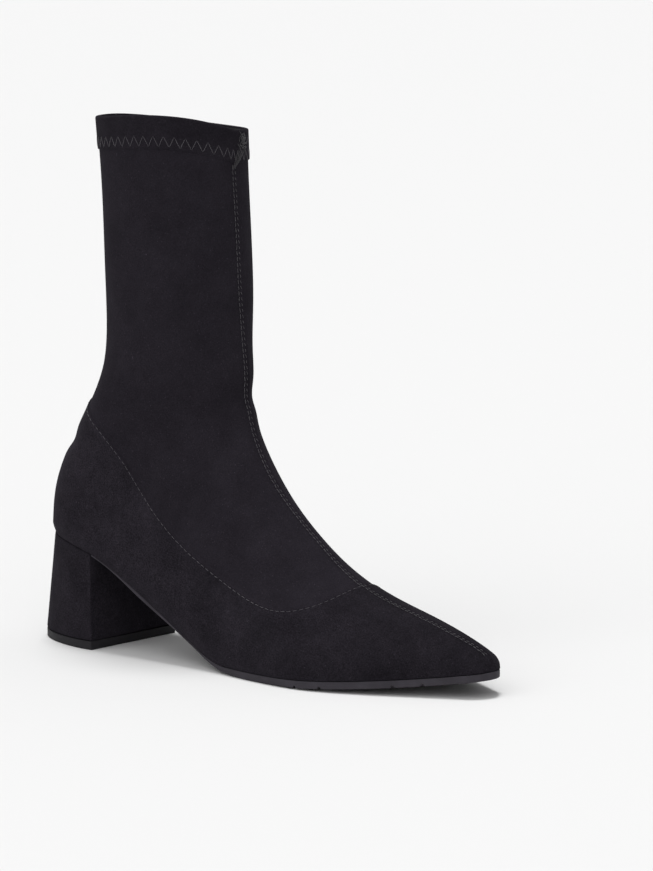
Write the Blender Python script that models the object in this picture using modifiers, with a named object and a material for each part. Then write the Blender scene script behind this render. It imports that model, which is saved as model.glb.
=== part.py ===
"""Right pull-on sock boot: pointed toe, block heel, stretch shaft with a folded hem.

Frame: +X to the toe, +Y to the inner (medial) side, +Z up, metres. The pieces are
worked out with X from the back of the heel counter and Z from the floor. An empty
carries them, so that the origin is the middle of the heel's rest on the floor.
"""

from collections import namedtuple

import bmesh
import bpy
import numpy as np
from mathutils import Matrix

# Driving sizes of the last
LENGTH = 0.2600  # back of the counter to the tip of the toe
BALL_WIDTH = 0.0800  # sole across the ball
HEEL_HEIGHT = 0.0529  # floor to the heel seat, at its back
INSTEP_HEIGHT = 0.1215  # floor to the bend in front of the ankle
TOE_SPRING = 0.0085  # rise of the sole's tip from the floor
TOE_SWING = 0.0072  # how far the tip lies to the inner side of the heel's centre line
SEAT_DROP = 0.0060  # fall of the heel seat from its back to the breast
SEAT_SLOPE = -0.36  # slope of the sole where it leaves the heel's breast
HEEL_CURVE = 0.040  # length of the round of the heel's outline
TOE_CURVE = 0.007  # length of the round of the toe's outline

# Shaft, outside
SHAFT_LENGTH = 0.0769  # front to back
SHAFT_WIDTH = 0.0590
SHAFT_BACK = 0.0347  # how far its back stands ahead of the counter
COLLAR_HEIGHT = 0.2560  # floor to the collar, at its back
COLLAR_RISE = 0.0045  # how much higher the collar stands on its outer side
COLLAR_DROP = 0.0020  # how much lower it stands on its inner side
TILT_ROWS = 5  # sections below the collar over which that tilt grows
COLLAR_DIP = 0.0046  # how much lower the collar is at the front
HEM_DEPTH = 0.0150  # folded hem, down from the collar

# Walls
LINING_WALL = 0.0013  # stretch cloth of the shaft, which runs down inside the foot
PANEL_STEP = 0.0006  # how far the foot's suede stands out over it
HEM_STEP = 0.0007  # how far the folded hem stands out
STEP_RUN = 0.0005  # length over which such a step rises
GAP = 0.0003  # between pieces that are glued together

# Sole
SOLE_THICKNESS = 0.0036
WAIST_THICKNESS = 0.0026
SOLE_MARGIN = 0.0008  # how far the sole's edge stands out past the last
EDGE_BEVEL = 0.0005
TREAD_BACK = 0.132  # the sole lies flat on the floor from here
TREAD_FRONT = 0.148  # to here
GROOVE_WIDTH = 0.0014
GROOVE_DEPTH = 0.0012
INSOLE_THICKNESS = 0.0025

# Heel
BREAST = 0.0426  # the heel's flat front face, from the back of the counter
HEEL_FOOT_WIDTH = 0.0587
HEEL_FOOT_BACK = -0.0086  # the heel's back at the floor
HEEL_BEVEL = 0.0007
TAP_THICKNESS = 0.0042

# Sole outline: place as a share of LENGTH, halves as shares of BALL_WIDTH
OutlineRow = namedtuple("OutlineRow", "x outer inner")
OUTLINE = (
    OutlineRow(0.000, 0.352, 0.352),
    OutlineRow(0.100, 0.362, 0.360),
    OutlineRow(0.165, 0.366, 0.352),
    OutlineRow(0.280, 0.340, 0.285),
    OutlineRow(0.400, 0.335, 0.215),
    OutlineRow(0.520, 0.425, 0.290),
    OutlineRow(0.630, 0.480, 0.425),
    OutlineRow(0.700, 0.490, 0.495),
    OutlineRow(0.780, 0.415, 0.455),
    OutlineRow(0.860, 0.300, 0.360),
    OutlineRow(0.930, 0.190, 0.232),
    OutlineRow(1.000, 0.090, 0.105),
)

# Sections of the foot, toe to heel. The front edge of each is on the ridge: its place
# is a share of LENGTH and its rise over the sole a share of the instep's. The back edge
# is on the sole, at a share of LENGTH. Outer and inner are half the section's width where
# it is widest, as shares of BALL_WIDTH. Widest is the share of the section at which that
# is, and pinch how much narrower than an ellipse its ridge is.
FootRow = namedtuple("FootRow", "front rise back outer inner widest pinch")
FOOT = (
    FootRow(0.997, 0.046, 1.0000, 0.0920, 0.1070, 0.20, 0.05),
    FootRow(0.979, 0.082, 0.9735, 0.1278, 0.1542, 0.25, 0.08),
    FootRow(0.936, 0.134, 0.9340, 0.1883, 0.2323, 0.25, 0.13),
    FootRow(0.850, 0.218, 0.8480, 0.3241, 0.3873, 0.25, 0.21),
    FootRow(0.758, 0.298, 0.7560, 0.4515, 0.4864, 0.25, 0.28),
    FootRow(0.686, 0.388, 0.6700, 0.5002, 0.4864, 0.27, 0.38),
    FootRow(0.623, 0.501, 0.5600, 0.4635, 0.3877, 0.30, 0.36),
    FootRow(0.552, 0.642, 0.4400, 0.4065, 0.3745, 0.32, 0.26),
    FootRow(0.500, 0.783, 0.3100, 0.3910, 0.3930, 0.32, 0.19),
    FootRow(0.469, 0.913, 0.1515, 0.3880, 0.3880, 0.30, 0.16),
    FootRow(0.458, 0.995, 0.0444, 0.3790, 0.3790, 0.29, 0.12),
    FootRow(0.450, 1.049, 0.0000, 0.3745, 0.3745, 0.29, 0.12),
)
BEND = 0.450  # place of the bend in front of the ankle, as a share of LENGTH

# Sections of the ankle and shaft, bottom to top. Heights are shares of the way from the
# heel seat to the collar, at the front and the back. Front is how far that edge stands
# ahead of the shaft's own line, as a share of SHAFT_LENGTH, and back how far the other
# edge stands behind it, as a share of SHAFT_BACK. Width is a share of SHAFT_WIDTH.
ShaftRow = namedtuple("ShaftRow", "front_up back_up front back width widest pinch")
SHAFT = (
    ShaftRow(0.425, 0.095, 0.072, 0.935, 1.020, 0.31, 0.09),
    ShaftRow(0.495, 0.200, 0.055, 0.660, 1.004, 0.35, 0.06),
    ShaftRow(0.570, 0.330, 0.037, 0.222, 0.993, 0.43, 0.03),
    ShaftRow(0.650, 0.455, 0.021, 0.005, 0.987, 0.49, 0.01),
    ShaftRow(0.760, 0.630, 0.005, 0.020, 0.985, 0.50, 0.00),
    ShaftRow(0.880, 0.825, -0.016, 0.062, 0.995, 0.50, 0.00),
    ShaftRow(1.000, 1.000, -0.031, 0.150, 1.010, 0.50, 0.00),
)

# Upper edge of the foot's suede, seen from the side: place as a share of LENGTH and
# height as a share of INSTEP_HEIGHT
PanelRow = namedtuple("PanelRow", "x height")
PANEL = (
    PanelRow(-0.060, 1.110),
    PanelRow(0.070, 1.038),
    PanelRow(0.160, 0.942),
    PanelRow(0.223, 0.822),
    PanelRow(0.285, 0.668),
    PanelRow(0.368, 0.508),
    PanelRow(0.475, 0.370),
    PanelRow(0.540, 0.308),
    PanelRow(0.616, 0.275),
    PanelRow(0.677, 0.299),
    PanelRow(0.705, 0.335),
    PanelRow(0.735, 0.405),
    PanelRow(0.775, 0.520),
)

# Grooves across the tread: place of each as a share of LENGTH
GROOVES = (0.678, 0.727, 0.852, 0.901)

PANEL_COLUMNS = 9  # faces round half a section, in the suede
CLOTH_COLUMNS = 12  # and in the stretch cloth
TOE_ROWS = 10  # rows of faces in front of the seam at the ridge
FOOT_ROWS = 22  # from there to the heel's back
START_SHARES = (0.2, 0.5)  # further rows just behind that seam, as shares of one
COUNTER_ROWS = 7  # from there to the top of the suede
COUNTER_POWER = 1.25  # how much those rows crowd towards the top
SHAFT_ROWS = 11
PANEL_SAMPLES = 241  # places read along a section to find that edge
HALVINGS = 30  # steps of the search for where it starts and ends
NORMAL_PROBE = 1e-4  # change of section or turn that a normal is read over
LENGTH_PROBE = 0.01  # change of section or turn that a length is read over
MERGE = 1e7  # corners closer than a ten-millionth of a metre are one
WALL_HARD_EDGE = 50  # degrees between faces, from which an edge is drawn hard
SLAB_HARD_EDGE = 40
BEVEL_FROM = 45  # degrees between faces, from which an edge is rounded
SOLE_STATIONS = 44
SOLE_COLUMNS = 4
HEEL_STATIONS = 14
GROOVE_TURN = 4  # degrees from square across
BAR_HEIGHT = 0.0048  # of the bars that cut the grooves
INSOLE_END = 0.950  # front end of the insole, as a share of LENGTH
INSOLE_CLEARANCE = 0.0016  # from the lining
HEEL_MARGIN = 0.0005  # how far the heel's top stands out past the last


def spline(knots, table, at):
    """Natural cubic spline through the rows of a table, read at the places in at."""
    knots = np.asarray(knots, float)
    table = np.asarray(table, float)
    steps = np.diff(knots)
    slopes = np.diff(table, axis=0) / steps[:, None]
    count = len(knots)
    system = np.eye(count)
    right = np.zeros_like(table)
    for i in range(1, count - 1):
        system[i, i - 1 : i + 2] = steps[i - 1], 2 * (steps[i - 1] + steps[i]), steps[i]
        right[i] = 6 * (slopes[i] - slopes[i - 1])
    bend = np.linalg.solve(system, right)
    at = np.clip(np.asarray(at, float), knots[0], knots[-1])
    i = np.clip(np.searchsorted(knots, at, side="right") - 1, 0, count - 2)
    h = steps[i][..., None]
    a = ((knots[i + 1] - at) / steps[i])[..., None]
    b = 1 - a
    return (
        a * table[i]
        + b * table[i + 1]
        + ((a**3 - a) * bend[i] + (b**3 - b) * bend[i + 1]) * h**2 / 6
    )


def sole_top(x):
    """Height of the sole's upper face: heel seat, waist, flat tread and toe spring."""
    x = np.asarray(x, float)
    seat = HEEL_HEIGHT - SEAT_DROP * (x / BREAST) ** 2
    run = TREAD_BACK - BREAST
    t = np.clip((x - BREAST) / run, 0, 1)
    seat_end = HEEL_HEIGHT - SEAT_DROP
    waist = (
        seat_end * (1 - 3 * t**2 + 2 * t**3)
        + SOLE_THICKNESS * (3 * t**2 - 2 * t**3)
        + SEAT_SLOPE * run * (t - 2 * t**2 + t**3)
    )
    lift = np.clip((x - TREAD_FRONT) / (LENGTH - TREAD_FRONT), 0, None)
    return np.where(x < BREAST, seat, waist) + TOE_SPRING * lift**2


def sole_thickness(x):
    """Thin at the waist, full under the ball and toe."""
    t = np.clip((np.asarray(x, float) - BREAST) / (TREAD_BACK - BREAST), 0, 1)
    return WAIST_THICKNESS + (SOLE_THICKNESS - WAIST_THICKNESS) * t**2


def swing(x):
    """Sideways place of the centre line, which turns inwards towards the toe."""
    return TOE_SWING * np.clip((x - BREAST) / (LENGTH - BREAST), 0, None) ** 2


def half_width(x, outer):
    """Half of the last's outline at x, on the outer or the inner side."""
    x = np.asarray(x, float)
    rows = [[row.outer, row.inner] for row in OUTLINE]
    halves = BALL_WIDTH * spline([row.x for row in OUTLINE], rows, x / LENGTH)
    half = np.where(outer, halves[..., 0], halves[..., 1])
    heel = np.clip(x / HEEL_CURVE, 0, 1)
    return half * np.sqrt(1 - (1 - heel) ** 2) * toe_round(x)


def toe_round(x):
    """Share of the width that is left at x by the round of the toe."""
    toe = np.clip((LENGTH - x) / TOE_CURVE, 0, 1)
    return np.sqrt(1 - (1 - toe) ** 2)


def walk(x):
    """Way along the outline from the heel's back to x, slow round both ends."""
    end = LENGTH - TOE_CURVE
    heel = np.arccos(1 - np.clip(x / HEEL_CURVE, 0, 1))
    toe = np.arcsin(np.clip((x - end) / TOE_CURVE, 0, 1))
    return HEEL_CURVE * heel + np.clip(x, HEEL_CURVE, end) - HEEL_CURVE + TOE_CURVE * toe


def place(way):
    """The x that a way along the outline leads to."""
    end = LENGTH - TOE_CURVE
    straight = way - HEEL_CURVE * np.pi / 2
    heel = np.clip(way / HEEL_CURVE, 0, np.pi / 2)
    toe = np.clip((straight - end + HEEL_CURVE) / TOE_CURVE, 0, np.pi / 2)
    middle = np.clip(straight, 0, end - HEEL_CURVE)
    return HEEL_CURVE * (1 - np.cos(heel)) + middle + TOE_CURVE * np.sin(toe)


def sections():
    """Every section as a row: front x, z; back x, z; way; sides; widest; pinch."""
    rise = INSTEP_HEIGHT - float(sole_top(BEND * LENGTH))
    rows = []
    for row in FOOT:
        front = row.front * LENGTH
        back = row.back * LENGTH
        top = float(sole_top(front)) + row.rise * rise
        way = float(walk(back))
        sides = [row.outer * BALL_WIDTH, row.inner * BALL_WIDTH]
        rows.append([front, top, back, float(sole_top(back)), way, *sides, row.widest, row.pinch])
    fall = COLLAR_HEIGHT - HEEL_HEIGHT
    for row in SHAFT:
        front = SHAFT_BACK + SHAFT_LENGTH * (1 + row.front)
        back = SHAFT_BACK * (1 - row.back)
        top = HEEL_HEIGHT + row.front_up * (fall - COLLAR_DIP)
        low = HEEL_HEIGHT + row.back_up * fall
        side = row.width * SHAFT_WIDTH / 2
        rows.append([front, top, back, low, 0.0, side, side, row.widest, row.pinch])
    return np.array(rows)


HEEL_ROW = len(FOOT) - 1  # the section that starts at the heel's back
TOP_ROW = HEEL_ROW + len(SHAFT)


def last_point(section, turn):
    """Point of the outside of the lining: section from the toe, turn -1 outer to 1 inner."""
    rows = sections()
    section = np.asarray(section, float)
    outer = turn < 0
    knots = np.arange(len(rows))
    read = spline(knots, rows, section)
    foot = spline(knots[: HEEL_ROW + 1], rows[: HEEL_ROW + 1, 4:5], np.minimum(section, HEEL_ROW))
    back = spline(knots[HEEL_ROW:], rows[HEEL_ROW:, 2:4], np.maximum(section, HEEL_ROW))
    sole_x = place(foot[..., 0])
    on_sole = section <= HEEL_ROW
    back_x = np.where(on_sole, sole_x, back[..., 0])
    back_z = np.where(on_sole, sole_top(sole_x), back[..., 1])
    base = np.where(on_sole, half_width(sole_x, outer), 0)
    full = np.maximum(np.where(outer, read[..., 5], read[..., 6]) * toe_round(sole_x), base)
    start = -np.arctan2(np.sqrt(full**2 - base**2), base)
    angle = start + (np.pi / 2 - start) * (1 - np.abs(turn))
    widest = read[..., 7]
    low = widest * (np.sin(angle) - np.sin(start))
    level = -widest * np.sin(start)
    share = np.where(angle < 0, low, level + (1 - level) * np.sin(angle))
    pinch = np.where(angle > 0, read[..., 8] * np.sin(angle) ** 2, 0)
    half = full * np.cos(angle) * (1 - pinch)
    x = back_x + (read[..., 0] - back_x) * share
    z = back_z + (read[..., 1] - back_z) * share
    rise = COLLAR_RISE * np.cos(angle) * (1 + np.sin(angle))
    tilt = np.where(outer, rise, -COLLAR_DROP * np.cos(angle) ** 2)
    z = z + tilt * np.clip((section - TOP_ROW) / TILT_ROWS + 1, 0, 1) ** 2
    return np.stack([x, np.sign(turn) * half + swing(x), z], axis=-1)


def last_normal(section, turn):
    """Outward normal of the last's surface."""
    low = np.clip(section - NORMAL_PROBE, 0, TOP_ROW)
    high = np.clip(section + NORMAL_PROBE, 0, TOP_ROW)
    left = np.clip(turn - NORMAL_PROBE, -1, 1)
    right = np.clip(turn + NORMAL_PROBE, -1, 1)
    side = np.where(turn == 0, 1.0, np.sign(turn))
    left = np.where(np.sign(left) == -side, 0, left)
    right = np.where(np.sign(right) == -side, 0, right)
    along = last_point(high, turn) - last_point(low, turn)
    across = last_point(section, right) - last_point(section, left)
    normal = np.cross(across, along)
    normal[turn == 0, 1] = 0
    return normal / np.maximum(np.linalg.norm(normal, axis=-1, keepdims=True), 1e-12)


def panel_round(section):
    """How far round a section the suede's upper edge runs: 0 at the ridge, 1 behind."""
    edge = [[row.height * INSTEP_HEIGHT] for row in PANEL]
    places = [row.x * LENGTH for row in PANEL]
    around = np.linspace(0, 1, PANEL_SAMPLES)
    result = []
    for level in np.atleast_1d(section):
        points = last_point(np.full_like(around, level), -around)
        over = points[:, 2] - spline(places, edge, points[:, 0])[:, 0]
        below = np.flatnonzero(over < 0)
        if len(below) == 0:
            result.append(1.0)
        elif below[0] == 0:
            result.append(0.0)
        else:
            i = below[0]
            share = over[i - 1] / (over[i - 1] - over[i])
            result.append(around[i - 1] + share * (around[i] - around[i - 1]))
    return np.array(result)


def crossing(passed, low, high):
    """Section between low and high from which passed holds, by halving."""
    for _ in range(HALVINGS):
        middle = (low + high) / 2
        if passed(panel_round(middle)[0]):
            high = middle
        else:
            low = middle
    return low, high


def panel_ends():
    """Sections at which the suede's edge leaves the ridge and reaches the back seam."""
    front = crossing(lambda around: around > 0, 1.0, HEEL_ROW / 2)[0]
    back = crossing(lambda around: around >= 1, float(HEEL_ROW), TOP_ROW - 1.0)[1]
    return front, back


def section_step(section, turn, length):
    """Change of section that moves a point that far up its column."""
    here = last_point(section, turn)
    below = last_point(section - LENGTH_PROBE, turn)
    return length * LENGTH_PROBE / np.linalg.norm(here - below, axis=-1)


def turn_step(section, turn, length):
    """Change of turn that moves a point that far towards the ridge."""
    turn = min(turn, -2 * LENGTH_PROBE)
    here = last_point(np.array(section), np.array(turn))
    nearer = last_point(np.array(section), np.array(turn + LENGTH_PROBE))
    return length * LENGTH_PROBE / float(np.linalg.norm(nearer - here))


def even_levels(low, high, count):
    """Sections between two, evenly spaced along the base and the ridge together."""
    fine = np.linspace(low, high, PANEL_SAMPLES)
    base = last_point(fine, -np.ones_like(fine))
    ridge = last_point(fine, np.zeros_like(fine))
    steps = np.linalg.norm(np.diff(base, axis=0), axis=-1)
    steps = steps + np.linalg.norm(np.diff(ridge, axis=0), axis=-1)
    way = np.concatenate([[0], np.cumsum(steps)])
    return np.interp(np.linspace(0, way[-1], count + 1), way, fine)


def outer_rows():
    """Rows of the upper's outside: sections, turns and steps out, one of each a vertex."""
    front, back = panel_ends()
    tiny = float(section_step(np.array(front), np.array(0.0), STEP_RUN))
    foot = even_levels(front, HEEL_ROW, FOOT_ROWS)
    start = front + (foot[1] - front) * np.array(START_SHARES)
    foot = np.concatenate([[front, front + tiny], start, foot[1:]])
    left = np.linspace(1, 0, COUNTER_ROWS + 1) ** COUNTER_POWER
    counter = back - (back - HEEL_ROW) * left
    levels = np.concatenate([even_levels(0, front, TOE_ROWS)[:-1], foot, counter[1:]])
    rows = []
    for level, edge in zip(levels, panel_round(levels)):
        edge = 0.0 if level <= front else edge
        edge = 1.0 if level >= back else edge
        inside = max(edge - turn_step(level, -edge, STEP_RUN), 0.0) if edge < 1 else 1.0
        suede = np.linspace(1, edge, PANEL_COLUMNS + 1)
        cloth = np.linspace(inside, 0, CLOTH_COLUMNS + 1)
        half = np.concatenate([suede, cloth])
        step = np.concatenate([
            np.full(PANEL_COLUMNS + 1, PANEL_STEP if level < back else 0.0),
            np.full(CLOTH_COLUMNS + 1, PANEL_STEP if level <= front else 0.0),
        ])
        rows.append((np.full(len(half), level), half, step))
    half = rows[-1][1]
    hem = TOP_ROW - section_step(np.full(len(half), float(TOP_ROW)), -half, HEM_DEPTH)
    rise = section_step(hem, -half, STEP_RUN)
    for share in np.linspace(0, 1, SHAFT_ROWS + 1)[1:]:
        rows.append((back + (hem - back) * share, half, np.zeros(len(half))))
    stands = np.full(len(half), HEM_STEP)
    rows.append((hem + rise, half, stands))
    rows.append(((hem + rise + TOP_ROW) / 2, half, stands))
    rows.append((np.full(len(half), float(TOP_ROW)), half, stands))
    return rows


def wall_row(sections_at, half, out):
    """Points of one row from the outer base edge over the ridge to the inner one."""
    turns = np.concatenate([-half, half[-2::-1]])
    levels = np.concatenate([sections_at, sections_at[-2::-1]])
    steps = np.concatenate([out, out[-2::-1]])
    points = last_point(levels, turns)
    points = points + last_normal(levels, turns) * steps[:, None]
    seat = sole_top(points[:, 0]) + GAP
    points[:, 2] = np.maximum(points[:, 2], seat)
    for end in (0, -1):
        if levels[end] <= HEEL_ROW:
            points[end, 2] = seat[end]
    if levels[0] == 0 or levels[0] >= HEEL_ROW:
        closed = np.abs(turns) == 1 if levels[0] > 0 else np.full(len(turns), True)
        middle = (points + points[::-1]) / 2
        points[closed] = middle[closed]
    return points


class Shape:
    """Collects faces by their corners, with corners in one place shared."""

    def __init__(self):
        self.mesh = bmesh.new()
        self.found = {}

    def corner(self, point):
        key = tuple(int(round(c * MERGE)) for c in point)
        if key not in self.found:
            self.found[key] = self.mesh.verts.new([float(c) for c in point])
        return self.found[key]

    def face(self, *points):
        corners = []
        for point in points:
            corner = self.corner(point)
            if corner not in corners:
                corners.append(corner)
        if len(corners) > 2:
            try:
                self.mesh.faces.new(corners)
            except ValueError:
                pass

    def strip(self, first, second):
        for i in range(len(first) - 1):
            self.face(first[i], first[i + 1], second[i + 1], second[i])

    def finish(self, name, collection, material):
        bmesh.ops.recalc_face_normals(self.mesh, faces=self.mesh.faces)
        data = bpy.data.meshes.new(name)
        self.mesh.to_mesh(data)
        self.mesh.free()
        data.materials.append(material)
        piece = bpy.data.objects.new(name, data)
        collection.objects.link(piece)
        return piece


def make_material(name, colour, roughness):
    """Plain Principled material in the part's colour."""
    material = bpy.data.materials.new(name)
    material.use_nodes = True
    shader = material.node_tree.nodes["Principled BSDF"]
    shader.inputs["Base Color"].default_value = (*colour, 1.0)
    shader.inputs["Roughness"].default_value = roughness
    shader.inputs["Metallic"].default_value = 0.0
    return material


def make_upper(collection, material):
    """Suede foot, stretch shaft and folded hem, as one wall with two low steps."""
    rows = outer_rows()
    outside = [wall_row(*row) for row in rows]
    inside = [wall_row(level, half, np.full(len(half), -LINING_WALL)) for level, half, _ in rows]
    shape = Shape()
    for wall in (outside, inside):
        for low, high in zip(wall, wall[1:]):
            shape.strip(low, high)
    base = [i for i, row in enumerate(rows) if row[0][0] <= HEEL_ROW]
    for end in (0, -1):
        shape.strip([outside[i][end] for i in base], [inside[i][end] for i in base])
    shape.strip(outside[-1], inside[-1])
    upper = shape.finish("upper", collection, material)
    upper.data.shade_smooth()
    upper.data.set_sharp_from_angle(angle=np.radians(WALL_HARD_EDGE))
    return upper


def rails(ways, offset):
    """Outer and inner edge of the last's outline, set out by offset, in plan."""
    x = place(ways)
    edges = []
    for outer in (True, False):
        sign = -1 if outer else 1
        y = sign * half_width(x, outer) + swing(x)
        along = np.stack([np.gradient(x), np.gradient(y)], axis=-1)
        along /= np.linalg.norm(along, axis=-1, keepdims=True)
        normal = np.stack([-along[:, 1], along[:, 0]], axis=-1) * sign
        if ways[0] == 0:
            normal[0] = (-1, 0)
        if x[-1] > LENGTH - GAP:
            normal[-1] = (1, 0)
        edges.append(np.stack([x, y], axis=-1) + offset * normal)
    return edges


def cut_end(edges, index, x, offset):
    """Puts one station of both edges squarely across the sole at x."""
    for edge, outer in zip(edges, (True, False)):
        half = float(half_width(x, outer)) + offset
        edge[index] = (x, float(swing(x)) + (-half if outer else half))
    return edges


def slab(name, collection, material, top, bottom, top_z, bottom_z, bevel):
    """Solid between two outlines of as many stations, each an outer and an inner edge."""
    shares = np.linspace(0, 1, SOLE_COLUMNS + 1)
    sheets = []
    for edges, height in ((top, top_z), (bottom, bottom_z)):
        rows = []
        for low, high in zip(*edges):
            flat = low + (high - low) * shares[:, None]
            rows.append(np.column_stack([flat, height(flat[:, 0])]))
        sheets.append(rows)
    shape = Shape()
    for rows in sheets:
        for first, second in zip(rows, rows[1:]):
            shape.strip(first, second)
    upper_rows, lower_rows = sheets
    for end in (0, -1):
        shape.strip([row[end] for row in upper_rows], [row[end] for row in lower_rows])
        shape.strip(upper_rows[end], lower_rows[end])
    piece = shape.finish(name, collection, material)
    edge = piece.modifiers.new("edge", "BEVEL")
    edge.width = bevel
    edge.segments = 2
    edge.limit_method = "ANGLE"
    edge.angle_limit = np.radians(BEVEL_FROM)
    piece.data.shade_smooth()
    piece.data.set_sharp_from_angle(angle=np.radians(SLAB_HARD_EDGE))
    return piece


def sole_bottom(x):
    """Height of the sole's lower face."""
    return sole_top(x) - sole_thickness(x)


def make_outsole(collection, cutters, material):
    """Thin sole from the heel's breast to the tip, with grooves across its tread."""
    start = BREAST + GAP
    ways = np.linspace(walk(start), walk(LENGTH), SOLE_STATIONS + 1)
    edges = cut_end(rails(ways, SOLE_MARGIN), 0, start, SOLE_MARGIN)
    sole = slab("outsole", collection, material, edges, edges, sole_top, sole_bottom, EDGE_BEVEL)
    groove = sole.modifiers.new("grooves", "BOOLEAN")
    groove.operation = "DIFFERENCE"
    groove.object = make_grooves(cutters)
    return sole


def make_grooves(cutters):
    """Bars across the tread, each as deep in the sole as its groove."""
    data = bpy.data.meshes.new("groove_bars")
    mesh = bmesh.new()
    for share in GROOVES:
        x = share * LENGTH
        top = float(sole_bottom(x)) + GROOVE_DEPTH
        turn = Matrix.Rotation(np.radians(GROOVE_TURN), 4, "Z")
        size = Matrix.Diagonal((GROOVE_WIDTH, 2 * BALL_WIDTH, BAR_HEIGHT, 1))
        spot = Matrix.Translation((x, float(swing(x)), top - BAR_HEIGHT / 2))
        bmesh.ops.create_cube(mesh, size=1.0, matrix=spot @ turn @ size)
    mesh.to_mesh(data)
    mesh.free()
    bars = bpy.data.objects.new("groove_bars", data)
    bars.hide_render = True
    bars.display_type = "WIRE"
    cutters.objects.link(bars)
    return bars


def heel_rails():
    """The heel's outline under its seat and at its foot."""
    ways = np.linspace(0, walk(BREAST), HEEL_STATIONS + 1)
    top = cut_end(rails(ways, HEEL_MARGIN), -1, BREAST, HEEL_MARGIN)
    foot = []
    for edge, outer in zip(top, (True, False)):
        half = float(half_width(BREAST, outer)) + HEEL_MARGIN
        across = edge[:, 1] * HEEL_FOOT_WIDTH / 2 / half
        back = edge[0, 0]
        share = (edge[:, 0] - back) / (BREAST - back)
        foot.append(np.stack([HEEL_FOOT_BACK + share * (BREAST - HEEL_FOOT_BACK), across], axis=-1))
    return top, foot


def make_heel(collection, material):
    """Covered block heel, flat in front, wider at its foot."""
    top, foot = heel_rails()
    return slab(
        "heel", collection, material, top, foot, sole_top,
        lambda x: np.full_like(x, TAP_THICKNESS + GAP), HEEL_BEVEL,
    )


def make_tap(collection, material):
    """Rubber heel tap on the floor."""
    foot = heel_rails()[1]
    return slab(
        "heel_tap", collection, material, foot, foot,
        lambda x: np.full_like(x, TAP_THICKNESS), np.zeros_like, EDGE_BEVEL,
    )


def make_insole(collection, material):
    """Insole on the sole and heel seat, inside the lining."""
    inset = -(LINING_WALL + INSOLE_CLEARANCE)
    ways = np.linspace(0, walk(INSOLE_END * LENGTH), SOLE_STATIONS + 1)
    edges = rails(ways, inset)
    return slab(
        "insole", collection, material, edges, edges,
        lambda x: sole_top(x) + GAP + INSOLE_THICKNESS, lambda x: sole_top(x) + GAP, EDGE_BEVEL,
    )


def main():
    for old in list(bpy.data.objects):
        bpy.data.objects.remove(old, do_unlink=True)
    collection = bpy.data.collections.new("sock_boot")
    cutters = bpy.data.collections.new("cutters")
    bpy.context.scene.collection.children.link(collection)
    bpy.context.scene.collection.children.link(cutters)
    suede = make_material("suede", (0.016, 0.014, 0.018), 0.9)
    rubber = make_material("rubber", (0.030, 0.029, 0.034), 0.6)
    cover = make_material("heel_cover", (0.015, 0.013, 0.017), 0.9)
    lift = make_material("tap_rubber", (0.026, 0.024, 0.028), 0.55)
    sock = make_material("sock", (0.012, 0.011, 0.012), 0.8)
    pieces = [
        make_upper(collection, suede),
        make_outsole(collection, cutters, rubber),
        make_heel(collection, cover),
        make_tap(collection, lift),
        make_insole(collection, sock),
    ]
    root = bpy.data.objects.new("sock_boot_root", None)
    collection.objects.link(root)
    root.location = (-(HEEL_FOOT_BACK + BREAST) / 2, 0, 0)
    for piece in [*pieces, *cutters.objects]:
        piece.parent = root


main()
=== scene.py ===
"""Looks of the right sock boot: suede foot, stretch shaft, stitching, rubber sole and heel."""

import math
from collections import namedtuple

import bmesh
import bpy
import numpy as np
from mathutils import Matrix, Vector


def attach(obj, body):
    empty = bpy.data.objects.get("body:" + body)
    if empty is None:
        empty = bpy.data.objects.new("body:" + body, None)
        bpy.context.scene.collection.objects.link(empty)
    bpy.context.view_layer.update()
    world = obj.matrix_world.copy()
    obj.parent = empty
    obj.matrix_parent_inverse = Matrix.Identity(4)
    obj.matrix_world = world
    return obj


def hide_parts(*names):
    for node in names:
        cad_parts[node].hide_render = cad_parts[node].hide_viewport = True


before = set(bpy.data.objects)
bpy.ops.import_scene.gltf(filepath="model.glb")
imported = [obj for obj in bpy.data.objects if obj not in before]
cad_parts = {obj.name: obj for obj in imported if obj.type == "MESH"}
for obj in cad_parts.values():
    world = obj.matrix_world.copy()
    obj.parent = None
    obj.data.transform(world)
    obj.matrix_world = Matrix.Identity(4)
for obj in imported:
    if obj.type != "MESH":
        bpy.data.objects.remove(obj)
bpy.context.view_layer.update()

# Driving sizes of the last
LENGTH = 0.2600  # back of the counter to the tip of the toe
BALL_WIDTH = 0.0800  # sole across the ball
HEEL_HEIGHT = 0.0529  # floor to the heel seat, at its back
INSTEP_HEIGHT = 0.1215  # floor to the bend in front of the ankle
TOE_SPRING = 0.0085  # rise of the sole's tip from the floor
TOE_SWING = 0.0072  # how far the tip lies inwards of the heel's centre line
SEAT_DROP = 0.0060  # fall of the heel seat from its back to the breast
SEAT_SLOPE = -0.36  # slope of the sole where it leaves the heel's breast
HEEL_CURVE = 0.040  # round of the heel's outline
TOE_CURVE = 0.007  # round of the toe's outline

# Shaft, outside
SHAFT_LENGTH = 0.0769  # front to back
SHAFT_WIDTH = 0.0590
SHAFT_BACK = 0.0347  # how far its back stands ahead of the counter
COLLAR_HEIGHT = 0.2560  # floor to the collar, at its back
COLLAR_RISE = 0.0045  # how much higher it stands on its outer side
COLLAR_DROP = 0.0020  # how much lower it stands on its inner side
TILT_ROWS = 5  # sections below the collar over which that tilt grows
COLLAR_DIP = 0.0046  # how much lower the collar is at the front
HEM_DEPTH = 0.0150  # folded hem, down from the collar

# Walls
LINING_WALL = 0.0013  # stretch cloth, which runs down inside the foot
PANEL_STEP = 0.0006  # how far the foot's suede stands out over it
HEM_STEP = 0.0007  # how far the folded hem stands out
STEP_RUN = 0.0005  # length over which such a step rises
GAP = 0.0003  # between glued pieces

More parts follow.
